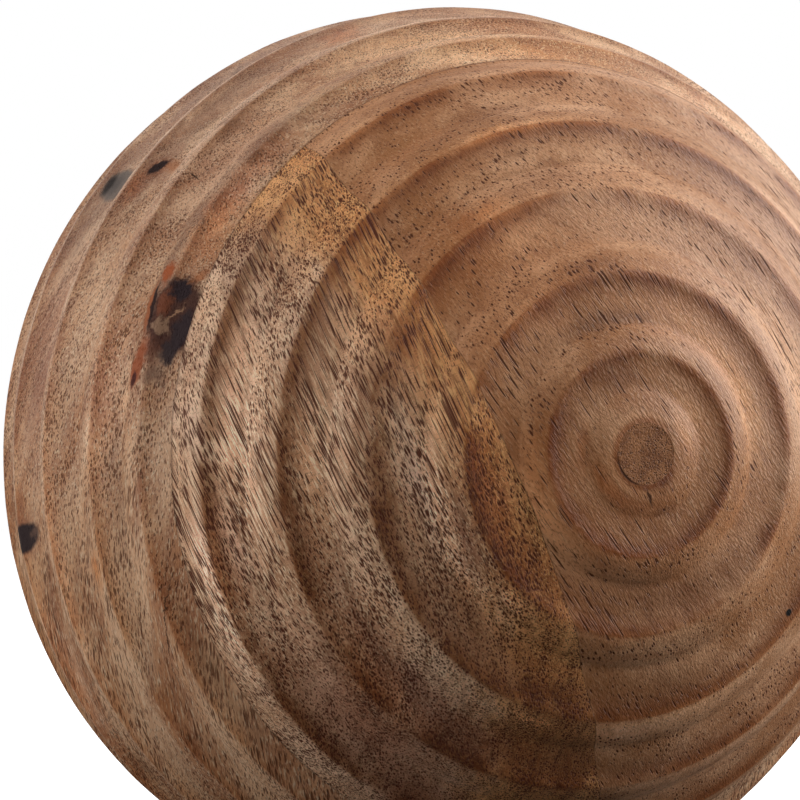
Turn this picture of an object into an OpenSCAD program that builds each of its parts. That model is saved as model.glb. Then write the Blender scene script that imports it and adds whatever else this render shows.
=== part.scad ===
// Solid wooden ball, glued up from three boards and turned with rings round one axis.
// The turning axis lies along Y with the front pole at -Y, and Z is up.

/* [Ball] */
// Diameter round the middle, over the ridge crests
ball_d = 102; // [80:1:140]
// Length from pole to pole, a little less than the diameter
ball_len = 95; // [76:1:130]

/* [Rings] */
// Crest and foot of each ring in degrees from the front pole, and the depth of its groove
// in mm, uneven as cut by hand. The first one is the button in the middle.
rings = [
    [3.7, 7.4, 0.55],
    [11.5, 15.2, 0.85],
    [20.8, 25.4, 0.9],
    [31.8, 36.8, 0.9],
    [42.2, 46.9, 0.9],
    [52.2, 56.6, 0.9],
    [61.3, 65.3, 0.9],
    [69.9, 73.8, 0.9],
    [80.5, 84.2, 0.95],
    [91.5, 96.4, 0.95]
];
// Number of even rings from there to the button at the rear pole
rear_rings = 9; // [7:1:11]
// Depth of their grooves below the crests
rear_depth = 0.9; // [0.4:0.1:1.4]
// Share of an even ring from its crest to its foot
foot_share = 0.42; // [0.3:0.01:0.55]
// Angle from the rear pole to the edge of its flat button
rear_button = 6; // [4:0.5:8]

/* [Boards] */
// Thickness of the front boards, from the pole to the glue line behind them
front_t = 22.25; // [16:0.25:28]
// Distance from the turning axis to the glue line between the front boards
side_seam = 12.7; // [8:0.1:18]
// Direction in which the left board lies, anticlockwise from the right
side_angle = 203; // [150:1:250]

/* [Plug] */
// Diameter of the end grain plug in the front pole
plug_d = 6.2; // [5:0.1:8]
// Depth of the plug below the front pole
plug_depth = 10; // [6:0.5:14]
// Step from the wood round the plug down to its end
plug_recess = 0.2; // [0.1:0.05:0.5]

/* [Hidden] */
$fn = 60;
mid_r = ball_d / 2;
pole_r = ball_len / 2;
// Height of the glue line behind the front boards, along the axis from the middle
seam_h = pole_r - front_t;
last_ring = rings[len(rings) - 1];
rear_pitch = (180 - rear_button - last_ring[0]) / rear_rings;
// Section of a ring as [share of the way, share of the groove depth].
// It falls in a round shoulder from crest to foot.
shoulder = [[0, 0], [0.35, 0.14], [0.7, 0.52]];
// Then a hollow floor steepens into the wall up to the next crest.
floor_and_wall = [[0, 1], [0.35, 0.85], [0.65, 0.63], [0.85, 0.35]];

// Steps along one side of a ring, between two angles
function side(from, to, depth, shape) = [for (s = shape) [from + (to - from) * s[0], depth * s[1]]];

// Crest, foot and depth of every ring, with the edge of the rear button at the end
function all_rings() = concat(
    rings,
    [for (i = [1:rear_rings])
        let (crest = last_ring[0] + rear_pitch * i)
        [crest, crest + rear_pitch * foot_share, rear_depth]]
);

// Angle and depth of every step from pole to pole
function steps(list) = concat(
    [[0, 0]],
    [for (i = [0:len(list) - 2])
        each concat(
            side(list[i][0], list[i][1], list[i][2], shoulder),
            side(list[i][1], list[i + 1][0], list[i][2], floor_and_wall)
        )],
    [[180 - rear_button, 0], [180, 0]]
);

// Point of the section at an angle, sunk by a depth
function section_point(s) =
    let (k = 1 - s[1] / mid_r)
    [s[0] % 180 == 0 ? 0 : mid_r * k * sin(s[0]), pole_r * k * cos(s[0])];

module half_section() {
    polygon([for (s = steps(all_rings())) section_point(s)]);
}

// Ball between two heights on its axis, in its place with the front pole at -Y
module turned(low, high) {
    rotate([90, 0, 0])
        rotate_extrude()
            intersection() {
                half_section();
                translate([0, low])
                    square([ball_d, high - low]);
            }
}

// Half space on the left board's side of the glue line
module left_side() {
    rotate([90, 0, 0])
        rotate([0, 0, side_angle])
            translate([side_seam, -ball_d, 0])
                cube([ball_d, 2 * ball_d, ball_len]);
}

// Straight hole and plug along the axis, from its floor to a height
module plug_bar(high) {
    rotate([90, 0, 0])
        translate([0, 0, pole_r - plug_depth])
            cylinder(d = plug_d, h = high - pole_r + plug_depth);
}

module back_block() {
    color("#a37a58")
        turned(-ball_len, seam_h);
}

module left_board() {
    color("#977049")
        intersection() {
            turned(seam_h, ball_len);
            left_side();
        }
}

module right_board() {
    color("#b07b5c")
        difference() {
            turned(seam_h, ball_len);
            left_side();
            plug_bar(ball_len);
        }
}

module pole_plug() {
    color("#75563f")
        plug_bar(pole_r - plug_recess);
}

back_block();
left_board();
right_board();
pole_plug();
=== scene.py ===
import bpy
import math
from mathutils import Matrix, Vector


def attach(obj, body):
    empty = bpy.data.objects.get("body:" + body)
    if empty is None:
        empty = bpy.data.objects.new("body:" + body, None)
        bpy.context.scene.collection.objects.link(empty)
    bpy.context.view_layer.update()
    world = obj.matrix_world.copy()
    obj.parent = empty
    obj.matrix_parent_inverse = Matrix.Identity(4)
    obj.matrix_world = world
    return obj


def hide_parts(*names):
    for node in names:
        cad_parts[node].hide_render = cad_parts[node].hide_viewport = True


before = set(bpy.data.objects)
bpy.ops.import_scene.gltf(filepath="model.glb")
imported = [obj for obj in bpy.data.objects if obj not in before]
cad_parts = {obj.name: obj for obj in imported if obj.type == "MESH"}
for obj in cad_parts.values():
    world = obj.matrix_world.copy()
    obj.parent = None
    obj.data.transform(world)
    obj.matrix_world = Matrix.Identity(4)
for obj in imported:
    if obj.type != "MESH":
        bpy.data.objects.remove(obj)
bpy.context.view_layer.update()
print("frame loaded:", sorted(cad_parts))

millimetre = 0.001

# the turned form, in millimetres and degrees, as the solids have it
ball = {
    "diameter": 102,
    "length": 95,
    # crest and foot of each ring from the front pole, and the depth of its groove
    "rings": [(3.7, 7.4, 0.55), (11.5, 15.2, 0.85), (20.8, 25.4, 0.9), (31.8, 36.8, 0.9),
              (42.2, 46.9, 0.9), (52.2, 56.6, 0.9), (61.3, 65.3, 0.9), (69.9, 73.8, 0.9),
              (80.5, 84.2, 0.95), (91.5, 96.4, 0.95)],
    "rearRings": 9,
    "rearDepth": 0.9,
    "footShare": 0.42,
    "rearButton": 6,
    # a shoulder falls by a power of its share, the rise to the next crest is partly even, and the
    # wall's colour ends a little past the crest, in degrees
    "shoulderPower": 1.9,
    "evenRise": 0.4,
    "wallPower": 4,
    "wallPast": 0.7,
    "stepsPerSide": 9,
    "columns": 288,
    "sharpAngle": 50,
    # the lathe tool and the sanding left the skin a little uneven
    "unevenness": 0.2,
    "unevenSize": 8,
}
boards = {
    "frontThickness": 22.25,
    "sideSeam": 12.7,
    "sideAngle": 203,
    "plugDiameter": 6.2,
    "plugDepth": 10,
}


def addNode(tree, kind, inputs=None, take=None, **settings):
    # adds one node with its settings; an input is given a value or the socket that feeds it,
    # and take names the output to hand back
    node = tree.nodes.new(kind)
    for name, value in settings.items():
        setattr(node, name, value)
    for name, value in (inputs or {}).items():
        if isinstance(value, bpy.types.NodeSocket):
            tree.links.new(value, node.inputs[name])
        else:
            node.inputs[name].default_value = value
    return node if take is None else node.outputs[take]


def ringSteps():
    # (angle from the front pole, depth, and shares of slope, wall and floor) from pole to pole
    rings = list(ball["rings"])
    last = rings[-1][0]
    pitch = (180 - ball["rearButton"] - last) / ball["rearRings"]
    for i in range(1, ball["rearRings"] + 1):
        rings.append((last + pitch * i, last + pitch * (i + ball["footShare"]), ball["rearDepth"]))
    count = ball["stepsPerSide"]
    shares = [i / count for i in range(count)]
    steps = [(0, 0, 0, 0, 0)]
    for (crest, foot, depth), (nextCrest, _, _) in zip(rings, rings[1:]):
        # a round shoulder down to the foot, where the wall's dark colour, its end grain and painted shade,
        # shows until just past the crest
        for s in shares:
            sunk = s ** ball["shoulderPower"]
            left = max(0, 1 - s * (foot - crest) / ball["wallPast"])
            steps.append((crest + (foot - crest) * s, depth * sunk, s, left, left))
        # then a hollow floor that steepens into a wall, with a slope share far from a crest's 0
        for s in shares:
            sunk = 1 - ball["evenRise"] * s - (1 - ball["evenRise"]) * s ** ball["wallPower"]
            slope = max(0.5, 1 - s * (nextCrest - foot))
            steps.append((foot + (nextCrest - foot) * s, depth * sunk, slope, s ** 3, s ** 0.5))
    return steps + [(180 - ball["rearButton"], 0, 0, 0, 0), (180, 0, 0, 0, 0)]


def turnedLine():
    # half section of the whole ball as (distance from the axis, height along it) in metres,
    # with the shares of slope, wall and floor that the wood's colour follows
    radius, half = ball["diameter"] / 2, ball["length"] / 2
    line = []
    for angle, depth, *shares in ringSteps():
        k = millimetre * (1 - depth / radius)
        a = math.radians(angle)
        line.append((radius * k * math.sin(a), half * k * math.cos(a), *shares))
    return line


def cutLine(line, axis, value):
    # the line with one more point where it crosses a distance (0) or a height (1), and that point
    for i, (a, b) in enumerate(zip(line, line[1:])):
        if (a[axis] - value) * (b[axis] - value) < 0:
            s = (value - a[axis]) / (b[axis] - a[axis])
            point = tuple(a[k] + (b[k] - a[k]) * s for k in range(5))
            return line[:i + 1] + [point] + line[i + 1:], point


def boardSections():
    # half section of each board, which its rows of faces follow
    height = (ball["length"] / 2 - boards["frontThickness"]) * millimetre
    seam = boards["sideSeam"] * millimetre
    hole = boards["plugDiameter"] / 2 * millimetre
    floor = (ball["length"] / 2 - boards["plugDepth"]) * millimetre
    line, edge = cutLine(turnedLine(), 1, height)
    line, start = cutLine(line, 0, seam)
    line, rim = cutLine(line, 0, hole)
    front = line[:line.index(edge) + 1]
    back = line[line.index(edge):]
    return {
        "backBlock": [(0, height, 0, 0, 0)] + back,
        "leftBoard": front[front.index(start):] + [(seam, height, 0, 0, 0)],
        "rightBoard": [(0, floor, 0, 0, 0), (hole, floor, 0, 0, 0)] + front[front.index(rim):]
                      + [(seam, height, 0, 0, 0), (0, height, 0, 0, 0)],
    }


def boardTree():
    # turns a half section into a board that stops at the side glue line
    tree = bpy.data.node_groups.new("turnedBoard", "GeometryNodeTree")
    for name, kind in [("Half Section", "NodeSocketGeometry"), ("Columns", "NodeSocketInt"),
                       ("Seam Height", "NodeSocketFloat"), ("Side Seam", "NodeSocketFloat"),
                       ("Side Angle", "NodeSocketFloat"), ("Right Of Seam", "NodeSocketFloat"),
                       ("Unevenness", "NodeSocketFloat"), ("Uneven Size", "NodeSocketFloat"),
                       ("Wood", "NodeSocketMaterial")]:
        tree.interface.new_socket(name, in_out="INPUT", socket_type=kind)
    tree.interface.new_socket("Board", in_out="OUTPUT", socket_type="NodeSocketGeometry")
    given = addNode(tree, "NodeGroupInput").outputs
    section = given["Half Section"]
    rows = addNode(tree, "GeometryNodeAttributeDomainSize", {0: section}, take="Point Count")

    # a grid vertex takes its row from the section and its share of the way round from its column
    index = addNode(tree, "GeometryNodeInputIndex", take=0)
    row = addNode(tree, "ShaderNodeMath", {0: index, 1: rows}, take=0, operation="MODULO")
    part = addNode(tree, "ShaderNodeMath", {0: index, 1: rows}, take=0, operation="DIVIDE")
    column = addNode(tree, "ShaderNodeMath", {0: part}, take=0, operation="FLOOR")
    spot = addNode(tree, "GeometryNodeInputPosition", take=0)
    sample = addNode(tree, "GeometryNodeSampleIndex", {0: section, "Value": spot, "Index": row},
                     take=0, data_type="FLOAT_VECTOR")
    point = addNode(tree, "ShaderNodeSeparateXYZ", {0: sample})
    reach, height = point.outputs["X"], point.outputs["Z"]

    # a row reaches to the seam: half its turn is the angle whose cosine is seam over reach
    ratio = addNode(tree, "ShaderNodeMath", {0: given["Side Seam"], 1: reach}, take=0, operation="DIVIDE")
    inside = addNode(tree, "ShaderNodeMath", {0: ratio, 1: 1.0}, take=0, operation="MINIMUM")
    leftHalf = addNode(tree, "ShaderNodeMath", {0: inside}, take=0, operation="ARCCOSINE")
    rightHalf = addNode(tree, "ShaderNodeMath", {0: math.pi, 1: leftHalf}, take=0, operation="SUBTRACT")
    halfTurn = addNode(tree, "ShaderNodeMix", {0: given["Right Of Seam"], 2: leftHalf, 3: rightHalf},
                       take=0)
    middle = addNode(tree, "ShaderNodeMath", {0: given["Right Of Seam"], 1: math.pi,
                                              2: given["Side Angle"]}, take=0, operation="MULTIPLY_ADD")

    # the turned skin, with both of its ends on the glue line
    mesh = addNode(tree, "GeometryNodeMeshGrid", {"Vertices X": given["Columns"], "Vertices Y": rows},
                   take="Mesh")
    last = addNode(tree, "ShaderNodeMath", {0: given["Columns"], 1: 1.0}, take=0, operation="SUBTRACT")
    share = addNode(tree, "ShaderNodeMath", {0: column, 1: last}, take=0, operation="DIVIDE")
    span = addNode(tree, "ShaderNodeMath", {0: share, 1: 2.0, 2: -1.0}, take=0, operation="MULTIPLY_ADD")
    swing = addNode(tree, "ShaderNodeMath", {0: span, 1: halfTurn, 2: middle}, take=0,
                    operation="MULTIPLY_ADD")
    swung = addNode(tree, "ShaderNodeVectorRotate", {"Vector": sample, "Angle": swing}, take=0,
                    rotation_type="Z_AXIS")
    turned = addNode(tree, "GeometryNodeSetPosition", {0: mesh, "Position": swung}, take=0)
    # the shares of slope, wall and floor go with the skin, for the wood to read
    cut = addNode(tree, "GeometryNodeInputNamedAttribute", {"Name": "cut"}, take=0,
                  data_type="FLOAT_VECTOR")
    cut = addNode(tree, "GeometryNodeSampleIndex", {0: section, "Value": cut, "Index": row}, take=0,
                  data_type="FLOAT_VECTOR")
    sheets = [addNode(tree, "GeometryNodeStoreNamedAttribute", {0: turned, "Name": "cut", "Value": cut},
                      take=0, data_type="FLOAT_VECTOR", domain="POINT")]

    # the flat wall on the glue line hangs straight down from the skin's edge, in two halves
    two = addNode(tree, "FunctionNodeInputInt", take=0, integer=2)
    mesh = addNode(tree, "GeometryNodeMeshGrid", {"Vertices X": two, "Vertices Y": rows}, take="Mesh")
    down = addNode(tree, "ShaderNodeMix", {0: column, 2: height, 3: given["Seam Height"]}, take=0)
    ahead = addNode(tree, "ShaderNodeMath", {0: halfTurn}, take=0, operation="COSINE")
    along = addNode(tree, "ShaderNodeMath", {0: ahead, 1: reach}, take=0, operation="MULTIPLY")
    ends = addNode(tree, "ShaderNodeMath", {0: halfTurn}, take=0, operation="SINE")
    width = addNode(tree, "ShaderNodeMath", {0: ends, 1: reach}, take=0, operation="MULTIPLY")
    limit = addNode(tree, "ShaderNodeMath", {0: given["Side Seam"], 1: 1e-7}, take=0, operation="SUBTRACT")
    nearer = addNode(tree, "FunctionNodeCompare", {0: reach, 1: limit}, take=0, operation="LESS_THAN")
    for half in (-1.0, 1.0):
        across = addNode(tree, "ShaderNodeMath", {0: width, 1: half}, take=0, operation="MULTIPLY")
        local = addNode(tree, "ShaderNodeCombineXYZ", {"X": along, "Y": across, "Z": down}, take=0)
        swung = addNode(tree, "ShaderNodeVectorRotate", {"Vector": local, "Angle": middle}, take=0,
                        rotation_type="Z_AXIS")
        placed = addNode(tree, "GeometryNodeSetPosition", {0: mesh, "Position": swung}, take=0)
        rest = addNode(tree, "GeometryNodeDeleteGeometry", {0: placed, "Selection": nearer}, take=0)
        if half > 0:
            rest = addNode(tree, "GeometryNodeFlipFaces", {0: rest}, take=0)
        sheets.append(rest)

    whole = addNode(tree, "GeometryNodeJoinGeometry")
    for mesh in sheets:
        tree.links.new(mesh, whole.inputs[0])
    closed = addNode(tree, "GeometryNodeMergeByDistance", {0: whole.outputs[0], "Distance": 2e-6}, take=0)
    # the axis is turned from Z, so that the front pole comes to -Y
    laid = addNode(tree, "GeometryNodeTransform", {0: closed, "Rotation": (math.pi / 2, 0, 0)}, take=0)

    # a slight unevenness, always inwards, and the same on both sides of a glue line
    scale = addNode(tree, "ShaderNodeMath", {0: 1.0, 1: given["Uneven Size"]}, take=0, operation="DIVIDE")
    uneven = addNode(tree, "ShaderNodeTexNoise", {"Scale": scale, "Detail": 2.0}, take=0)
    sunk = addNode(tree, "ShaderNodeMath", {0: uneven, 1: given["Unevenness"]}, take=0, operation="MULTIPLY")
    inward = addNode(tree, "ShaderNodeVectorMath", {0: addNode(tree, "GeometryNodeInputPosition", take=0)},
                     take=0, operation="NORMALIZE")
    back = addNode(tree, "ShaderNodeMath", {0: sunk, 1: -1.0}, take=0, operation="MULTIPLY")
    shift = addNode(tree, "ShaderNodeVectorMath", {0: inward, "Scale": back}, take=0, operation="SCALE")
    worn = addNode(tree, "GeometryNodeSetPosition", {0: laid, "Offset": shift}, take=0)

    smooth = addNode(tree, "GeometryNodeSetShadeSmooth", {0: worn}, take=0)
    real = addNode(tree, "GeometryNodeRealizeInstances", {0: smooth}, take=0)
    done = addNode(tree, "GeometryNodeSetMaterial", {0: real, "Material": given["Wood"]}, take=0)
    addNode(tree, "NodeGroupOutput", {0: done})
    return tree


def makeBoard(name, tree, section, wood):
    mesh = bpy.data.meshes.new(name + "Section")
    mesh.from_pydata([(p[0], 0, p[1]) for p in section], [(i, i + 1) for i in range(len(section) - 1)], [])
    cut = mesh.attributes.new("cut", "FLOAT_VECTOR", "POINT")
    for item, p in zip(cut.data, section):
        item.vector = p[2:]
    source = bpy.data.objects.new(name + "Section", mesh)
    bpy.context.scene.collection.objects.link(source)
    modifier = source.modifiers.new("turnedBoard", "NODES")
    modifier.node_group = tree
    # the back block has no side seam: one beyond its reach leaves every row a full turn
    seam = ball["diameter"] if name == "backBlock" else boards["sideSeam"]
    values = {
        "Columns": ball["columns"] + 1,
        "Seam Height": (ball["length"] / 2 - boards["frontThickness"]) * millimetre,
        "Side Seam": seam * millimetre,
        "Side Angle": math.radians(boards["sideAngle"]),
        "Right Of Seam": 0.0 if name == "leftBoard" else 1.0,
        "Unevenness": ball["unevenness"] * millimetre,
        "Uneven Size": ball["unevenSize"] * millimetre,
        "Wood": wood,
    }
    for item in tree.interface.items_tree:
        if item.in_out == "INPUT" and item.name in values:
            modifier[item.identifier] = values[item.name]
    bpy.context.view_layer.update()
    graph = bpy.context.evaluated_depsgraph_get()
    board = bpy.data.objects.new(name, bpy.data.meshes.new_from_object(source.evaluated_get(graph)))
    bpy.data.objects.remove(source)
    board.data.name = name
    board.data.set_sharp_from_angle(angle=math.radians(ball["sharpAngle"]))
    bpy.context.scene.collection.objects.link(board)
    print(name, "faces:", len(board.data.polygons))
    return board


# Waxed hardwood with open pores, turned and sanded. The dark pores run as streaks where the
# cut follows the fibre and as dots where it crosses it. One entry per board.
# A grain is (length along the fibre, width across it, depth through the growth layers) in
# millimetres, the noise values where it starts and is full, its amount and its colour.
# A set of pores is (length, pitch and radius in pitches), its amount and its spread in size.
# A band tints the skin beyond a distance along a direction: from, to and the tint.
# A cut tints by the slope from a crest, 0, to its foot, 1 (X), by the wall (Y) or by the floor (Z): from, to,
# the tint, and whether it keeps to the lower side of the ball. A lighter X tint is a painted sheen by the
# crests, a darker Y tint is the wall's end grain and painted shade, a Z tint darkens floors in patches, and
# the tints that keep to the lower side are painted light and shade.
woods = {
    "backWood": {
        "fibre": (0.267, 0.357, -0.895), "layers": (-0.2, -0.9, -0.35),
        "bend": 5, "bendLength": 34, "seed": 3,
        "base": "#ba835f",
        "grains": [
            ((45, 12, 5), 0.38, 0.62, 0.9, "#efc29b"),
            ((60, 22, 2.6), 0.42, 0.62, 0.45, "#d19465"),
            ((16, 1.5, 1.1), 0.5, 0.68, 0.35, "#9e6d54"),
            ((0.9, 0.2, 0.2), 0.5, 0.34, 0.7, "#905c44"),
            ((1.3, 0.2, 0.2), 0.52, 0.68, 0.6, "#f8dfbd"),
        ],
        "pores": [((3.0, 0.3, 0.27), 0.8, 0.35), ((1.4, 0.18, 0.27), 0.55, 0.4)], "pore": "#5c2c0e",
        "bands": [],
        # floors darker in patches and, as painted shade, on the lower side; walls darker, their end grain and
        # painted shade, with painted light on the walls of the lower side
        "cut": [("Z", 0.1, 1.0, (0.9, 0.87, 0.84), False), ("Z", 0.1, 1.0, (0.84, 0.78, 0.73), True),
                ("Y", 0.2, 0.9, (0.72, 0.62, 0.53), False), ("Y", 0.15, 0.8, (1.38, 1.36, 1.33), True)],
    },
    "leftWood": {
        "fibre": (0.32, -0.326, -0.89), "layers": (0.876, 0.389, 0.284),
        "bend": 1.0, "bendLength": 18, "seed": 7,
        "base": "#d49f7a",
        "grains": [
            ((45, 12, 5), 0.38, 0.62, 1.0, "#fdcfac"),
            ((60, 22, 2.2), 0.42, 0.62, 0.35, "#f0b483"),
            ((20, 3.0, 1.1), 0.5, 0.66, 0.5, "#a97a5a"),
            ((12, 0.8, 0.55), 0.48, 0.68, 0.65, "#845c3e"),
            ((0.15, 0.4, 0.4), 0.5, 0.34, 0.55, "#90674a"),
            ((1.8, 0.17, 0.17), 0.48, 0.64, 0.8, "#ffdcb4"),
        ],
        "pores": [((16.0, 0.26, 0.33), 0.95, 0.22), ((11.0, 0.17, 0.31), 0.82, 0.25)], "pore": "#5b2610",
        "bands": [((0.876, 0.389, 0.284), -37.0, -30.8, (0.98, 0.75, 0.47))],
        # floors darker in patches and, as painted shade, on the lower side; walls darker, their end grain and
        # painted shade
        "cut": [("Z", 0.1, 1.0, (0.86, 0.8, 0.76), False), ("Z", 0.1, 1.0, (0.84, 0.78, 0.73), True),
                ("Y", 0.05, 0.7, (0.54, 0.4, 0.28), False)],
    },
    "rightWood": {
        "fibre": (0.585, -0.03, -0.81), "layers": (0.05, -1.0, 0.0),
        "bend": 1.5, "bendLength": 24, "seed": 11,
        "base": "#af774d",
        "grains": [
            ((45, 12, 5), 0.38, 0.62, 0.9, "#dea980"),
            ((60, 22, 1.5), 0.42, 0.62, 0.45, "#bb7e52"),
            ((16, 1.5, 1.1), 0.5, 0.68, 0.35, "#99603e"),
            ((0.5, 0.22, 0.22), 0.5, 0.3, 0.75, "#83502d"),
            ((0.8, 0.24, 0.24), 0.5, 0.74, 0.3, "#f6cfa7"),
        ],
        "pores": [((9.0, 0.42, 0.21), 0.95, 0.4), ((4.0, 0.2, 0.22), 0.5, 0.4)], "pore": "#572606",
        # whiter towards the right, where the softbox shines on it, a painted sheen; and warmer towards the
        # left
        "bands": [((1.0, 0.0, 0.2), 2.0, 26.0, (0.98, 1.05, 1.15)),
                  ((-1.0, 0.0, -0.2), 1.0, 14.0, (0.99, 0.94, 0.87))],
        # floors darker in patches and, as painted shade, on the lower side; walls darker, their end grain and
        # painted shade; a painted sheen on the shoulders just past the crests
        "cut": [("Z", 0.1, 1.0, (0.98, 0.97, 0.95), False), ("Z", 0.1, 1.0, (0.8, 0.76, 0.73), True),
                ("Y", 0.08, 0.7, (0.58, 0.42, 0.3), False), ("X", 0.35, 0.0, (1.3, 1.31, 1.27), False)],
    },
    "plugWood": {
        "fibre": (0.0, 1.0, 0.05), "layers": (0.3, 0.0, 1.0),
        "bend": 0.3, "bendLength": 4, "seed": 5,
        "base": "#87532e",
        "grains": [
            ((45, 2, 1.4), 0.38, 0.62, 0.8, "#b1764a"),
            ((3, 0.3, 0.3), 0.5, 0.3, 0.6, "#6e4429"),
            ((3, 0.22, 0.22), 0.52, 0.7, 0.5, "#d2935d"),
        ],
        "pores": [((6.0, 0.3, 0.26), 0.7, 0.3), ((3.0, 0.18, 0.24), 0.5, 0.3)], "pore": "#472b19",
        "bands": [],
        "cut": [],
    },
}
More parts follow.
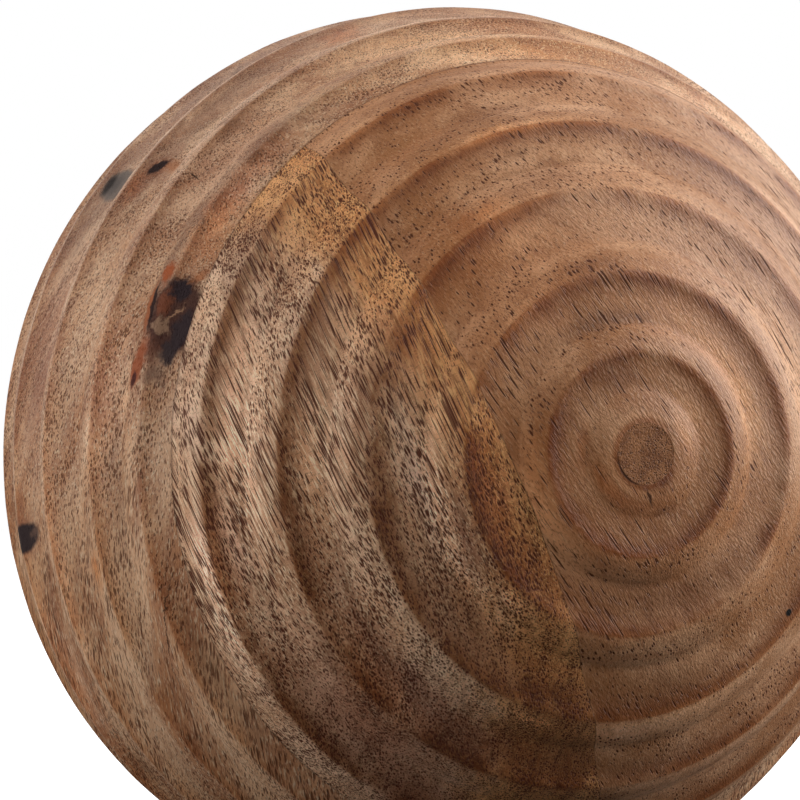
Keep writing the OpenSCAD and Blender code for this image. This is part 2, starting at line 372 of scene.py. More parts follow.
# soft patches that lighten or darken the wood, those marked below being painted light and shade: (ring angle,
# way round) in degrees, half sizes in millimetres round the ring and across it, a tint that the grain shows
# through, and how ragged the edge is
stainsAndPaintedLight = {
    "backWood": [
        ((64.0, 100.0), (31.2, 10.0), (1.15, 1.1, 0.98), 2.0),
        ((61.5, 84.0), (12.0, 6.2), (1.06, 1.05, 0.92), 2.0),
        ((59.0, 62.0), (10.0, 4.5), (1.35, 1.38, 1.4), 2.0),
        ((58.5, 95.0), (14.0, 2.2), (1.2, 1.2, 1.2), 1.5),
        # painted shade on the wall by a crest
        ((62.2, 132.0), (20.0, 2.0), (0.7, 0.66, 0.62), 1.2),
        ((60.0, 147.0), (6.0, 3.5), (1.05, 0.9, 0.72), 2.0),
        ((77.5, 110.5), (4.5, 4.2), (0.9, 0.62, 0.46), 2.0),
        ((80.5, 110.0), (6.0, 3.5), (0.82, 0.8, 0.8), 2.0),
        ((69.0, 133.0), (3.1, 1.5), (0.66, 0.6, 0.56), 1.0),
        ((79.3, 144.4), (2.9, 2.0), (1.1, 0.82, 0.6), 1.3),
        # painted light over the shade of a wall
        ((68.3, 172.0), (14.0, 3.6), (1.4, 1.42, 1.45), 2.0),
        # painted shade just past a foot
        ((66.0, 184.0), (11.0, 2.4), (0.66, 0.6, 0.56), 1.2),
        ((63.6, 154.0), (14.0, 2.2), (0.52, 0.46, 0.43), 1.0),
        ((77.8, 134.0), (25.0, 3.8), (0.66, 0.6, 0.57), 1.8),
        # painted light over the shade of the wall at a crest
        ((80.2, 195.0), (20.0, 1.8), (1.25, 1.25, 1.28), 1.0),
        ((71.8, 193.5), (3.1, 2.0), (1.05, 0.8, 0.58), 1.3),
        # painted shade on a wall below a crest
        ((59.5, 208.0), (15.6, 2.2), (0.7, 0.66, 0.62), 1.4),
        ((86.5, 121.5), (0.8, 3.8), (0.5, 0.45, 0.42), 2.0),
        ((88.6, 146.0), (14.0, 5.5), (0.66, 0.64, 0.63), 2.0),
        # a painted highlight on the crest at the left rim
        ((91.5, 207.0), (14.0, 7.0), (1.6, 1.72, 1.9), 2.0),
        ((87.5, 221.0), (3.6, 2.8), (0.66, 0.6, 0.55), 1.8),
        ((60.0, 172.0), (6.0, 3.2), (0.85, 0.81, 0.78), 2.0),
        # painted light on the end of a shoulder before its foot
        ((73.0, 125.0), (31.2, 1.8), (1.15, 1.2, 1.26), 1.1),
        # painted light on the end of a shoulder before its foot
        ((83.6, 130.0), (28.0, 2.0), (1.2, 1.26, 1.34), 1.1),
        ((86.0, 168.0), (20.0, 6.0), (0.88, 0.81, 0.83), 2.0),
        ((66.0, 137.0), (14.0, 8.0), (0.91, 0.84, 0.83), 2.0),
        ((60.0, 143.0), (13.0, 2.4), (1.3, 1.22, 1.26), 1.2),
        # a painted highlight on a shoulder past a crest
        ((82.4, 128.0), (22.0, 3.0), (1.25, 1.32, 1.38), 1.2),
        ((87.5, 125.0), (20.0, 3.6), (0.75, 0.7, 0.68), 1.5),
    ],
    "leftWood": [
        ((19.4, 190.0), (15.0, 2.8), (0.98, 0.84, 0.7), 1.5),
        ((19.0, 228.0), (7.0, 3.6), (0.78, 0.7, 0.64), 1.6),
        ((25.4, 202.0), (20.0, 2.2), (1.45, 1.55, 1.68), 1.4),
        ((27.0, 182.0), (6.6, 3.5), (1.1, 1.14, 1.22), 2.0),
        # painted shade on a wall below a crest
        ((30.6, 186.0), (20.0, 1.9), (0.66, 0.55, 0.43), 1.0),
        # painted shade just past a crest
        ((33.0, 172.0), (15.0, 1.3), (0.66, 0.58, 0.52), 1.0),
        ((49.6, 178.0), (9.0, 1.7), (1.3, 1.34, 1.38), 0.8),
        # painted shade just past a crest
        ((43.4, 217.0), (12.0, 1.2), (0.7, 0.64, 0.6), 0.6),
        ((23.0, 205.0), (7.8, 2.1), (0.66, 0.6, 0.64), 1.4),
        ((22.6, 227.0), (2.4, 0.9), (1.7, 1.75, 1.9), 0.6),
        ((27.5, 224.0), (16.0, 4.0), (0.74, 0.64, 0.56), 2.0),
        ((30.0, 250.0), (7.0, 3.2), (0.6, 0.54, 0.5), 1.8),
        ((34.2, 175.0), (8.4, 2.4), (1.15, 1.17, 1.2), 1.5),
        ((32.8, 160.0), (8.0, 3.0), (0.8, 0.74, 0.68), 1.6),
        ((38.6, 178.0), (11.0, 3.2), (1.45, 1.52, 1.58), 1.2),
        ((33.5, 251.0), (3.1, 1.2), (1.6, 1.7, 1.9), 0.8),
        ((34.5, 265.0), (9.0, 2.2), (1.35, 1.35, 1.35), 1.6),
        ((38.8, 234.0), (28.0, 4.0), (0.69, 0.58, 0.58), 2.0),
        ((47.6, 182.0), (14.0, 4.4), (1.65, 1.82, 2.0), 1.5),
        ((53.4, 201.0), (13.0, 2.8), (1.65, 1.85, 2.1), 1.6),
        ((55.2, 172.0), (10.0, 1.4), (0.8, 0.74, 0.72), 1.0),
        ((54.0, 148.0), (10.0, 3.4), (0.62, 0.55, 0.5), 1.6),
        ((46.6, 150.0), (9.0, 2.0), (0.72, 0.65, 0.6), 1.2),
        ((24.0, 150.0), (8.0, 2.6), (0.76, 0.7, 0.64), 1.2),
        ((46.0, 229.0), (20.0, 10.0), (0.55, 0.42, 0.39), 1.9),
        ((36.0, 266.0), (12.0, 12.5), (0.56, 0.5, 0.48), 2.0),
        ((32.0, 154.0), (8.0, 9.0), (0.95, 0.84, 0.73), 1.6),
        ((41.0, 222.0), (12.0, 2.4), (1.85, 1.9, 1.8), 1.2),
        ((51.5, 193.0), (7.0, 5.0), (1.32, 1.32, 1.42), 1.5),
        ((49.2, 164.0), (9.0, 2.6), (1.4, 1.38, 1.4), 1.2),
        ((51.5, 244.0), (8.0, 6.0), (0.62, 0.5, 0.46), 1.6),
        ((17.6, 194.0), (3.0, 2.4), (1.3, 1.28, 1.38), 1.2),
    ],
    "rightWood": [
        ((3.9, 300.0), (3.2, 1.3), (0.68, 0.6, 0.54), 0.8),
        ((8.9, 107.0), (3.4, 1.9), (0.76, 0.7, 0.66), 1.2),
        ((10.5, 140.0), (9.0, 3.4), (0.66, 0.56, 0.46), 1.8),
        ((15.9, 100.0), (8.5, 1.9), (0.62, 0.6, 0.62), 1.2),
        ((22.2, 100.0), (6.0, 2.0), (0.76, 0.7, 0.66), 1.2),
        ((15.2, 268.0), (6.2, 1.0), (0.8, 0.78, 0.78), 0.6),
        ((7.0, 291.0), (2.6, 0.8), (0.7, 0.66, 0.64), 0.6),
        ((5.8, 212.0), (4.6, 2.1), (0.9, 0.74, 0.58), 1.4),
        ((7.6, 175.0), (3.8, 1.2), (0.85, 0.68, 0.54), 0.8),
        ((14.0, 178.0), (10.8, 6.2), (0.92, 0.85, 0.77), 2.0),
        ((14.0, 255.0), (16.0, 10.0), (0.86, 0.77, 0.7), 2.0),
        ((16.8, 262.0), (10.0, 2.4), (0.8, 0.75, 0.7), 1.0),
        ((19.4, 316.0), (6.0, 2.6), (0.76, 0.72, 0.68), 1.0),
        ((8.0, 250.0), (7.0, 1.6), (0.82, 0.75, 0.68), 0.8),
        ((16.5, 132.0), (4.0, 2.6), (0.8, 0.75, 0.7), 1.0),
        ((25.3, 285.0), (13.2, 0.8), (0.78, 0.76, 0.74), 0.6),
        ((29.5, 280.0), (15.0, 3.6), (0.82, 0.8, 0.78), 2.0),
        ((33.8, 288.0), (12.0, 2.4), (1.35, 1.45, 1.55), 0.9),
        ((40.6, 282.0), (14.0, 2.4), (0.76, 0.74, 0.74), 1.6),
        ((33.5, 120.0), (4.8, 1.8), (1.0, 0.82, 0.64), 1.1),
        ((28.5, 120.0), (7.0, 3.8), (1.25, 1.27, 1.27), 2.0),
        ((39.2, 106.0), (3.4, 0.9), (0.66, 0.6, 0.56), 0.6),
        ((45.9, 60.0), (16.8, 0.6), (0.8, 0.78, 0.78), 0.6),
        ((36.8, 100.0), (19.2, 0.6), (0.8, 0.78, 0.76), 0.6),
        ((16.4, 72.0), (12.0, 4.0), (1.24, 1.28, 1.32), 1.6),
        ((16.0, 14.0), (9.0, 4.2), (1.16, 1.24, 1.27), 2.0),
        ((13.9, 206.0), (11.0, 2.4), (1.5, 1.48, 1.46), 1.0),
        ((6.0, 250.0), (8.0, 2.2), (1.0, 0.84, 0.74), 1.0),
        ((34.5, 268.0), (9.0, 3.2), (1.5, 1.6, 1.8), 1.2),
        ((26.2, 28.0), (17.0, 3.0), (1.25, 1.22, 1.14), 2.0),
        ((16.0, 28.0), (11.0, 2.2), (1.4, 1.38, 1.3), 1.0),
        # a painted highlight on the shoulders right of the plug
        ((7.8, 38.0), (5.5, 1.6), (1.28, 1.3, 1.28), 0.6),
        ((5.6, 22.0), (3.6, 1.3), (1.4, 1.42, 1.38), 0.4),
        ((25.0, 128.0), (15.0, 13.0), (0.98, 0.9, 0.84), 2.0),
        ((42.5, 292.0), (13.0, 9.0), (1.2, 1.27, 1.4), 2.0),
        ((17.4, 292.0), (12.0, 3.2), (0.72, 0.68, 0.66), 1.2),
        ((34.4, 104.0), (9.0, 3.2), (0.82, 0.78, 0.76), 1.6),
        ((47.0, 105.0), (9.0, 2.0), (0.76, 0.72, 0.7), 1.2),
        ((42.6, 106.0), (9.0, 1.3), (1.35, 1.35, 1.3), 0.8),
    ],
    "plugWood": [],
}
# knots and cracks: place and half sizes as above, a turn in degrees, a colour of their own and its
# amount, the share of the mark that is soft edge, and how ragged that edge is
knots = {
    "backWood": [
        # the large knot, cut off flat by the glue line: a rusty rim round dark bark
        ((62.7, 155.2), (1.7, 1.3), 0, "#a9552b", 0.95, 0.7, 0.9),
        ((58.6, 155.0), (2.4, 0.8), 34, "#bd7448", 0.8, 0.8, 0.6),
        ((59.6, 161.0), (5.2, 4.0), -4, "#4a2a22", 0.97, 0.35, 0.8),
        ((61.6, 159.4), (2.0, 1.2), 0, "#7d442b", 0.9, 0.6, 1.0),
        ((61.5, 165.6), (2.0, 1.2), 0, "#6f4433", 0.85, 0.7, 1.0),
        ((63.9, 160.3), (3.8, 0.7), -8, "#a45c36", 0.85, 0.6, 0.5),
        ((63.4, 159.8), (3.4, 0.4), -8, "#2a120f", 0.97, 0.5, 0.4),
        ((63.3, 167.6), (3.8, 1.4), 10, "#9c4c28", 0.9, 0.6, 0.6),
        ((63.6, 169.7), (1.2, 0.5), 10, "#50241f", 0.97, 0.5, 0.3),
        ((59.9, 157.2), (1.6, 1.3), 0, "#33262a", 0.95, 0.5, 0.9),
        ((58.3, 162.8), (3.4, 1.4), 11, "#35272a", 0.95, 0.5, 0.9),
        ((59.3, 165.9), (1.3, 1.3), 0, "#3a2c2d", 0.95, 0.6, 0.8),
        ((61.1, 162.4), (1.0, 1.3), 0, "#9a765c", 0.9, 0.6, 1.4),
        ((59.8, 160.3), (1.9, 0.22), 38, "#b48868", 0.8, 0.8, 0.8),
        ((60.2, 168.8), (2.2, 2.2), 0, "#77594a", 0.7, 0.8, 0.9),
        # a small knot above it and a dark one beyond, greyed by a painted sheen
        ((75.0, 140.2), (1.5, 2.0), 0, "#b3724a", 0.7, 0.8, 0.9),
        ((77.6, 140.9), (2.3, 1.5), 39, "#8a4c2c", 0.75, 0.7, 0.6),
        ((77.6, 140.9), (1.8, 0.95), 39, "#2a1512", 1.0, 0.4, 0.5),
        # the grey of a painted sheen over the dark knot
        ((86.5, 143.7), (2.7, 3.8), 0, "#7a6d64", 0.95, 0.35, 0.25),
        ((87.6, 143.7), (2.4, 2.6), 0, "#544b47", 0.8, 0.9, 0.3),
        ((89.4, 143.6), (2.4, 1.3), 0, "#241a17", 0.9, 0.7, 0.25),
        ((91.2, 189.5), (3.2, 6.2), -13, "#8c5038", 0.5, 0.7, 0.8),
        ((91.4, 189.6), (1.8, 5.0), -13, "#2b2023", 0.97, 0.3, 0.25),
        ((87.6, 189.0), (0.9, 1.4), -13, "#6e5244", 0.8, 0.6, 1.2),
        # hairline cracks
        ((68.4, 141.3), (0.12, 1.2), 12, "#3a2418", 0.9, 0.6, 0.1),
        ((62.6, 202.5), (8.0, 0.14), 26, "#4a3020", 0.9, 0.6, 0.5),
    ],
    "leftWood": [],
    "rightWood": [
        # the gap beside the plug, a short crack below it, and a pinhole
        ((3.6, 222.0), (3.4, 0.2), 0, "#3a2013", 0.9, 0.8, 0.1),
        ((5.0, 275.0), (0.2, 1.3), -20, "#4a2816", 0.9, 0.6, 0.3),
        ((31.0, 320.5), (0.5, 0.42), 0, "#120d0b", 1.0, 0.4, 0.1),
    ],
    "plugWood": [],
}
# a thin dark line of glue shows between two boards
glue = {"colour": "#4a2f1f", "halfWidth": 0.055, "edge": (1.6, 0.6), "amount": 0.45}
# what all the woods share, in millimetres
skin = {
    "roundStart": -25,          # degrees where the way round starts, which hardly any mark crosses
    "patch": (9, 9, 9),         # size of the patches in which a cut shows its tint
    "patchRange": (0.3, 0.55),  # noise values from no patch to a full one
    "upward": (0.35, 0, 0.94),  # the painted light and shade of the lower side go against this way
    "waxed": (8.0, -14.0),      # the painted light and shade of the lower side, from none at the first height to all at the second
    "creep": (0.12, 0.7, 0.7),  # waves a millimetre in a patch's edge, along the fibre and across it
    "bandCreep": 5.0,           # how far the edge of a band may shift
    "bark": 0.8,                # waves a millimetre in the torn edge of a knot
    "tear": 3,                  # how far a ragged edge of 1 may shift
    "crowd": (30, 9, 1.6),      # size of the layers in which pores are wider
    "crowdRange": (0.38, 0.62),
    "poreEdge": (1.2, 0.7),     # shares of its radius where a pore starts and is full
    "threadHeight": 0.1,
    "poreDepth": 0.08,
    "roughness": (0.36, 0.48),  # between the threads and on them
    "poreRoughness": 0.25,      # added to that in a pore and on bark
    "barkRoughness": 0.4,
    "ior": 1.5,
    "specular": 0.25,
}


def linearColour(code):
    # an sRGB hex colour as linear red, green, blue and alpha
    parts = [int(code[i:i + 2], 16) / 255 for i in (1, 3, 5)]
    return tuple(p / 12.92 if p <= 0.04045 else ((p + 0.055) / 1.055) ** 2.4 for p in parts) + (1,)


def grainShare(tree, local, stretch, low, high, amount):
    # noise stretched to the size of a grain, and how strongly that grain shows
    scaled = addNode(tree, "ShaderNodeVectorMath", {0: local, 1: [1 / v for v in stretch]}, take=0,
                     operation="MULTIPLY")
    grain = addNode(tree, "ShaderNodeTexNoise", {"Vector": scaled, "Scale": 1.0, "Detail": 3.0,
                                                 "Roughness": 0.6}, take=0)
    share = addNode(tree, "ShaderNodeMapRange", {0: grain, 1: low, 2: high, 3: 0.0, 4: amount}, take=0,
                    interpolation_type="SMOOTHSTEP")
    return grain, share


def wander(tree, spot, scale, detail, roughness):
    # a random shift in three directions, as often one way as the other
    noise = addNode(tree, "ShaderNodeTexNoise", {"Vector": spot, "Scale": scale, "Detail": detail,
                                                 "Roughness": roughness}, take=1)
    return addNode(tree, "ShaderNodeVectorMath", {0: noise, 1: (0.5, 0.5, 0.5)}, take=0,
                   operation="SUBTRACT")


def fibrePlace(tree, place, look):
    # millimetres along the fibre, across it in the growth layer, and through the layers
    fibre = Vector(look["fibre"]).normalized()
    side = Vector(look["layers"]).cross(fibre).normalized()
    axes = Matrix((fibre, side, fibre.cross(side)))
    offset = [look["seed"] * k for k in (9, 5, 7)]
    straight = addNode(tree, "ShaderNodeMapping", {"Vector": place, "Rotation": axes.to_euler(),
                                                   "Location": offset}, take=0)
    # the fibre bends to and fro as the tree grew
    scale = 1 / look["bendLength"]
    slow = addNode(tree, "ShaderNodeVectorMath", {0: straight, 1: (scale / 2, scale, scale)}, take=0,
                   operation="MULTIPLY")
    shift = wander(tree, slow, 1.0, 2.0, 0.5)
    bend = 2 * look["bend"]
    return addNode(tree, "ShaderNodeVectorMath", {0: shift, 1: (0, bend, bend), 2: straight}, take=0,
                   operation="MULTIPLY_ADD")


def polarPlace(tree, place):
    # degrees round the ring and away from the front pole, which the stains and knots go by
    x, y, z = addNode(tree, "ShaderNodeSeparateXYZ", {0: place}).outputs
    around = addNode(tree, "ShaderNodeMath", {0: z, 1: x}, take=0, operation="ARCTAN2")
    start, end = [math.radians(skin["roundStart"] + turn) for turn in (0, 360)]
    around = addNode(tree, "ShaderNodeMath", {0: around, 1: end, 2: start}, take=0, operation="WRAP")
    level = addNode(tree, "ShaderNodeVectorMath", {0: place, 1: (1, 0, 1)}, take=0, operation="MULTIPLY")
    reach = addNode(tree, "ShaderNodeVectorMath", {0: level}, take="Value", operation="LENGTH")
    ahead = addNode(tree, "ShaderNodeMath", {0: y, 1: -ball["diameter"] / ball["length"]}, take=0,
                    operation="MULTIPLY")
    ring = addNode(tree, "ShaderNodeMath", {0: reach, 1: ahead}, take=0, operation="ARCTAN2")
    polar = addNode(tree, "ShaderNodeCombineXYZ", {0: around, 1: ring}, take=0)
    return addNode(tree, "ShaderNodeVectorMath", {0: polar, "Scale": math.degrees(1)}, take=0,
                   operation="SCALE")


def poreShare(tree, local, crowd, cell, spread, amount):
    # how far a point lies inside an open pore: long cells with one pore in each
    length, pitch, radius = cell
    few, many = skin["crowdRange"]
    size = addNode(tree, "ShaderNodeMapRange", {0: crowd, 1: few, 2: many, 3: radius * (1 - spread),
                                                4: radius * (1 + spread)}, take=0)
    spot = addNode(tree, "ShaderNodeVectorMath", {0: local, 1: (1 / length, 1 / pitch, 1 / pitch)}, take=0,
                   operation="MULTIPLY")
    reach = addNode(tree, "ShaderNodeTexVoronoi", {"Vector": spot, "Scale": 1.0}, take="Distance")
    edge = addNode(tree, "ShaderNodeMath", {0: reach, 1: size}, take=0, operation="DIVIDE")
    outer, inner = skin["poreEdge"]
    return addNode(tree, "ShaderNodeMapRange", {0: edge, 1: outer, 2: inner, 3: 0.0, 4: amount}, take=0,
                   interpolation_type="SMOOTHSTEP")


def markShare(tree, polar, torn, spot, size, ragged, turn=0, soft=1.0, amount=1.0):
    # how far a point lies inside a mark on the skin, from 0 at its edge to its full amount
    ring, around = spot
    a = math.radians(ring)
    radius, half = ball["diameter"] / 2, ball["length"] / 2
    # millimetres for one degree round the ring and across it
    degree = (math.radians(radius * math.sin(a)),
              math.radians(math.hypot(radius * math.cos(a), half * math.sin(a))))
    start = (-around * degree[0], -ring * degree[1], 0)
    flat = addNode(tree, "ShaderNodeVectorMath", {0: polar, 1: (*degree, 0), 2: start}, take=0,
                   operation="MULTIPLY_ADD")
    tear = ragged * skin["tear"]
    rough = addNode(tree, "ShaderNodeVectorMath", {0: torn, 1: (tear, tear, 0), 2: flat}, take=0,
                    operation="MULTIPLY_ADD")
    local = addNode(tree, "ShaderNodeMapping", {"Vector": rough, "Rotation": (0, 0, math.radians(turn)),
                                                "Scale": (*size, 1)}, take=0, vector_type="TEXTURE")
    reach = addNode(tree, "ShaderNodeVectorMath", {0: local}, take="Value", operation="LENGTH")
    return addNode(tree, "ShaderNodeMapRange", {0: reach, 1: 1.0, 2: 1.0 - soft, 3: 0.0, 4: amount}, take=0,
                   interpolation_type="SMOOTHSTEP")


def tintCutsAndPaintShade(tree, place, look, colour):
    # shoulders by the crests are lighter, a painted sheen; floors are darker in patches; walls cross the
    # grain and are darker, their end grain and painted shade; and the tints that keep to the lower side are
    # painted light and shade
    cut = addNode(tree, "ShaderNodeAttribute", take="Vector", attribute_name="cut")
    cut = addNode(tree, "ShaderNodeSeparateXYZ", {0: cut})
    _, patch = grainShare(tree, place, skin["patch"], *skin["patchRange"], 1.0)
    # the share of the painted light and shade that keeps to the lower side of the ball
    sideLightShare = addNode(tree, "ShaderNodeVectorMath", {0: place, 1: skin["upward"]}, take="Value",
                   operation="DOT_PRODUCT")
    dry, waxed = skin["waxed"]
    sideLightShare = addNode(tree, "ShaderNodeMapRange", {0: sideLightShare, 1: dry, 2: waxed, 3: 0.0, 4: patch}, take=0)
    for way, low, high, tint, lowSideLightAndShade in look["cut"]:
        share = addNode(tree, "ShaderNodeMapRange", {0: cut.outputs[way], 1: low, 2: high, 3: 0.0,
                                                     4: sideLightShare if lowSideLightAndShade else patch}, take=0)
        colour = addNode(tree, "ShaderNodeMix", {0: share, 6: colour, 7: (*tint, 1)}, take=2,
                         data_type="RGBA", blend_type="MULTIPLY")
    return colour


def stainAndPaintLightWood(tree, place, local, polar, name, colour):
    # bands and soft patches of other wood tone and of painted light and shade, whose edges creep along the
    # fibre
    spread = addNode(tree, "ShaderNodeVectorMath", {0: local, 1: skin["creep"]}, take=0, operation="MULTIPLY")
    creep = wander(tree, spread, 1.0, 5.0, 0.6)
    for direction, low, high, tint in woods[name]["bands"]:
        crept = addNode(tree, "ShaderNodeVectorMath", {0: creep, "Scale": skin["bandCreep"]}, take=0,
                        operation="SCALE")
        crept = addNode(tree, "ShaderNodeVectorMath", {0: crept, 1: place}, take=0, operation="ADD")
        depth = addNode(tree, "ShaderNodeVectorMath", {0: crept, 1: direction}, take="Value",
                        operation="DOT_PRODUCT")
        share = addNode(tree, "ShaderNodeMapRange", {0: depth, 1: low, 2: high, 3: 0.0, 4: 1.0}, take=0,
                        interpolation_type="SMOOTHSTEP")
        colour = addNode(tree, "ShaderNodeMix", {0: share, 6: colour, 7: (*tint, 1)}, take=2,
                         data_type="RGBA", blend_type="MULTIPLY")
    for spot, size, tint, ragged in stainsAndPaintedLight[name]:
        share = markShare(tree, polar, creep, spot, size, ragged)
        colour = addNode(tree, "ShaderNodeMix", {0: share, 6: colour, 7: (*tint, 1)}, take=2,
                         data_type="RGBA", blend_type="MULTIPLY")
    return colour


def drawGlue(tree, place, name, colour):
    # the glue lines lie on the two planes where boards meet
    way = math.radians(boards["sideAngle"])
    planes = [((0, 1, 0), boards["frontThickness"] - ball["length"] / 2)]
    if name != "backWood":
        planes.append(((math.cos(way), 0, math.sin(way)), boards["sideSeam"]))
    for normal, distance in planes:
        off = addNode(tree, "ShaderNodeVectorMath", {0: place, 1: normal}, take="Value",
                      operation="DOT_PRODUCT")
        off = addNode(tree, "ShaderNodeMath", {0: off, 1: distance}, take=0, operation="SUBTRACT")
        off = addNode(tree, "ShaderNodeMath", {0: off}, take=0, operation="ABSOLUTE")
        outer, inner = [share * glue["halfWidth"] for share in glue["edge"]]
        line = addNode(tree, "ShaderNodeMapRange", {0: off, 1: outer, 2: inner, 3: 0.0,
                                                    4: glue["amount"]}, take=0)
        colour = addNode(tree, "ShaderNodeMix", {0: line, 6: colour, 7: linearColour(glue["colour"])},
                         take=2, data_type="RGBA")
    return colour


def makeWood(name):
    look = woods[name]
    wood = bpy.data.materials.new(name)
    wood.use_nodes = True
    tree = wood.node_tree
    spot = addNode(tree, "ShaderNodeTexCoord", take="Object")
    place = addNode(tree, "ShaderNodeVectorMath", {0: spot, "Scale": 1 / millimetre}, take=0,
                    operation="SCALE")
    local = fibrePlace(tree, place, look)

    # the last grain of a wood is its finest threads, which the touch feels as well
    colour = linearColour(look["base"])
    for stretch, low, high, amount, tone in look["grains"]:
        thread, share = grainShare(tree, local, stretch, low, high, amount)
        colour = addNode(tree, "ShaderNodeMix", {0: share, 6: colour, 7: linearColour(tone)}, take=2,
                         data_type="RGBA")
    colour = tintCutsAndPaintShade(tree, place, look, colour)
    polar = polarPlace(tree, place)
    colour = stainAndPaintLightWood(tree, place, local, polar, name, colour)

    # open pores, wider in some growth layers than in others
    crowd, _ = grainShare(tree, local, skin["crowd"], *skin["crowdRange"], 1.0)
    pore = 0.0
    for cell, amount, spread in look["pores"]:
        one = poreShare(tree, local, crowd, cell, spread, amount)
        pore = addNode(tree, "ShaderNodeMath", {0: pore, 1: one}, take=0, operation="MAXIMUM")
    colour = addNode(tree, "ShaderNodeMix", {0: pore, 6: colour, 7: linearColour(look["pore"])}, take=2,
                     data_type="RGBA")

    # knots, whose dead bark is torn and takes no wax
    torn = wander(tree, place, skin["bark"], 5.0, 0.65)
    bark = 0.0
    for spot, size, turn, tone, amount, soft, ragged in knots[name]:
        share = markShare(tree, polar, torn, spot, size, ragged, turn, soft, amount)
        colour = addNode(tree, "ShaderNodeMix", {0: share, 6: colour, 7: linearColour(tone)}, take=2,
                         data_type="RGBA")
        bark = addNode(tree, "ShaderNodeMath", {0: bark, 1: share}, take=0, operation="MAXIMUM")
    if name != "plugWood":
        colour = drawGlue(tree, place, name, colour)

    # pores are pits and threads are ridges to the touch, under a thin satin wax
    pits = addNode(tree, "ShaderNodeMath", {0: pore, 1: -skin["poreDepth"]}, take=0, operation="MULTIPLY")
    height = addNode(tree, "ShaderNodeMath", {0: thread, 1: skin["threadHeight"], 2: pits}, take=0,
                     operation="MULTIPLY_ADD")
    bump = addNode(tree, "ShaderNodeBump", {"Strength": 1.0, "Distance": millimetre, "Height": height},
                   take=0)
    waxed, dry = skin["roughness"]
    gloss = addNode(tree, "ShaderNodeMapRange", {0: thread, 1: 0.3, 2: 0.7, 3: waxed, 4: dry}, take=0)
    gloss = addNode(tree, "ShaderNodeMath", {0: pore, 1: skin["poreRoughness"], 2: gloss}, take=0,
                    operation="MULTIPLY_ADD")
    gloss = addNode(tree, "ShaderNodeMath", {0: bark, 1: skin["barkRoughness"], 2: gloss}, take=0,
                    operation="MULTIPLY_ADD")
    shader = tree.nodes["Principled BSDF"]
    tree.links.new(colour, shader.inputs["Base Color"])
    tree.links.new(bump, shader.inputs["Normal"])
    tree.links.new(gloss, shader.inputs["Roughness"])
    shader.inputs["IOR"].default_value = skin["ior"]
    shader.inputs["Specular IOR Level"].default_value = skin["specular"]
    return wood


tree = boardTree()
sections = boardSections()
for name, node, slot, wood in [("backBlock", "back_block", "back_wood", "backWood"),
                               ("leftBoard", "left_board", "left_wood", "leftWood"),
                               ("rightBoard", "right_board", "right_wood", "rightWood")]:
    piece = makeBoard(name, tree, sections[name], makeWood(wood))
    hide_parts(node)
    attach(piece, "root")
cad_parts["pole_plug"].data.materials[0] = makeWood("plugWood")
print("wood made:", len(woods))

# the camera stands a little to the left of the axis, level with the middle
view = {
    "place": (-0.13561, -0.30249, -0.001076),
    "right": (0.91949, -0.393, -0.00983),
    "up": (0.0, -0.025, 0.99969),
    "back": (-0.39312, -0.9192, -0.02299),
    "lens": 130.8,
}
camera = bpy.data.cameras.new("camera")
camera.sensor_width = 36
camera.lens = view["lens"]
cameraObject = bpy.data.objects.new("camera", camera)
bpy.context.scene.collection.objects.link(cameraObject)
turn = Matrix((view["right"], view["up"], view["back"])).transposed().to_4x4()
cameraObject.matrix_world = Matrix.Translation(view["place"]) @ turn
bpy.context.scene.camera = cameraObject

# a large softbox close by on the right and a weaker one on the left
lamps = {
    "rightLamp": {"towards": (0.85, -0.27, 0.42), "distance": 1.0, "size": 0.75, "power": 12.0},
    "leftLamp": {"towards": (-0.95, 0.06, 0.14), "distance": 1.0, "size": 0.7, "power": 6.2},
}
for name, values in lamps.items():
    lamp = bpy.data.lights.new(name, "AREA")
    lamp.size = values["size"]
    lamp.energy = values["power"]
    lampObject = bpy.data.objects.new(name, lamp)
    bpy.context.scene.collection.objects.link(lampObject)
    direction = Vector(values["towards"]).normalized()
    lampObject.location = direction * values["distance"]
    lampObject.rotation_euler = direction.to_track_quat("Z", "Y").to_euler()

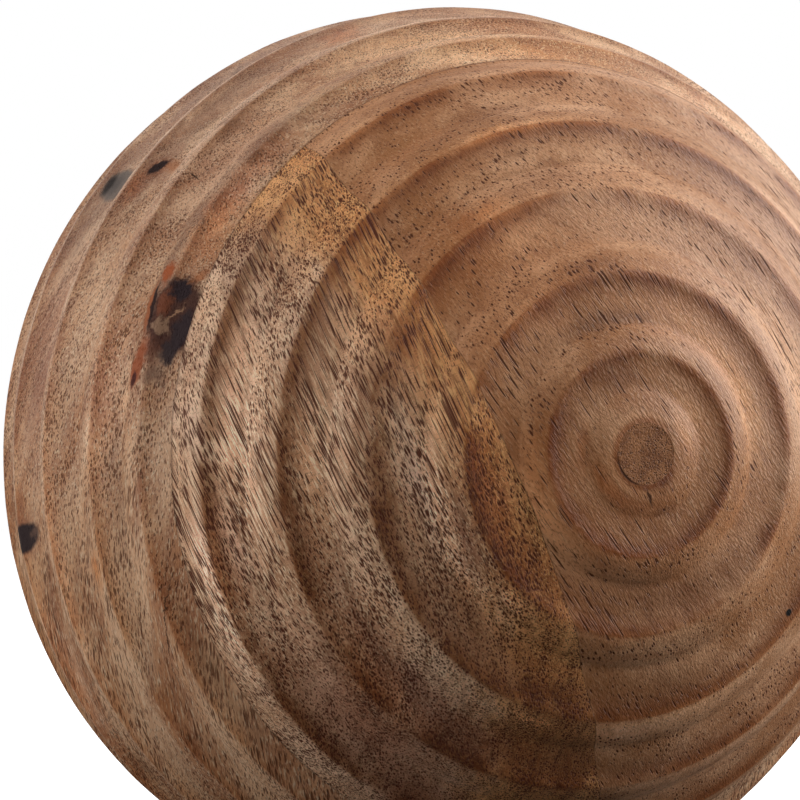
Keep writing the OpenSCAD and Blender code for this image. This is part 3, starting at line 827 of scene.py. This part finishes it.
# a white tent: bright behind the ball and above it, dim in front and below, white to the camera
tent = {"base": 0.03, "behind": 0.5, "above": 0.4, "away": (0.393, 0.919, 0.02)}
world = bpy.data.worlds.new("world")
bpy.context.scene.world = world
world.use_nodes = True
tree = world.node_tree
towards = addNode(tree, "ShaderNodeTexCoord", take="Generated")
away = addNode(tree, "ShaderNodeVectorMath", {0: towards, 1: tent["away"]}, take="Value",
               operation="DOT_PRODUCT")
upward = addNode(tree, "ShaderNodeVectorMath", {0: towards, 1: (0, 0, 1)}, take="Value",
                 operation="DOT_PRODUCT")
behind = addNode(tree, "ShaderNodeMapRange", {0: away, 1: 0.0, 2: 0.6, 3: tent["base"],
                                              4: tent["base"] + tent["behind"]}, take=0)
above = addNode(tree, "ShaderNodeMapRange", {0: upward, 1: -0.1, 2: 0.5, 3: 0.0, 4: tent["above"]}, take=0)
fill = addNode(tree, "ShaderNodeMath", {0: behind, 1: above}, take=0, operation="ADD")
seen = addNode(tree, "ShaderNodeLightPath", take="Is Camera Ray")
strength = addNode(tree, "ShaderNodeMix", {0: seen, 2: fill, 3: 1.0}, take=0)
background = tree.nodes["Background"]
background.inputs["Color"].default_value = (1, 1, 1, 1)
tree.links.new(strength, background.inputs["Strength"])

# a matt pale floor that reads white to the camera and keeps the ball's shadow
ground = {"half": 2.0, "height": -0.0512, "seen": 0.8, "bounce": 0.08, "lift": 0.6}
mesh = bpy.data.meshes.new("paleFloor")
mesh.from_pydata([(x * ground["half"], y * ground["half"], ground["height"])
                  for x, y in ((-1, -1), (1, -1), (1, 1), (-1, 1))], [], [(0, 1, 2, 3)])
floor = bpy.data.objects.new("paleFloor", mesh)
bpy.context.scene.collection.objects.link(floor)
paint = bpy.data.materials.new("mattPaint")
paint.use_nodes = True
tree = paint.node_tree
shader = tree.nodes["Principled BSDF"]
seen = addNode(tree, "ShaderNodeLightPath", take="Is Camera Ray")
shade = addNode(tree, "ShaderNodeMix", {0: seen, 6: [ground["bounce"]] * 3 + [1],
                                        7: [ground["seen"]] * 3 + [1]}, take=2, data_type="RGBA")
lift = addNode(tree, "ShaderNodeMath", {0: seen, 1: ground["lift"]}, take=0, operation="MULTIPLY")
tree.links.new(shade, shader.inputs["Base Color"])
tree.links.new(lift, shader.inputs["Emission Strength"])
shader.inputs["Emission Color"].default_value = (1, 1, 1, 1)
shader.inputs["Roughness"].default_value = 1.0
shader.inputs["Specular IOR Level"].default_value = 0.0
mesh.materials.append(paint)

bpy.context.scene.view_settings.view_transform = "Standard"
print("light and camera set")
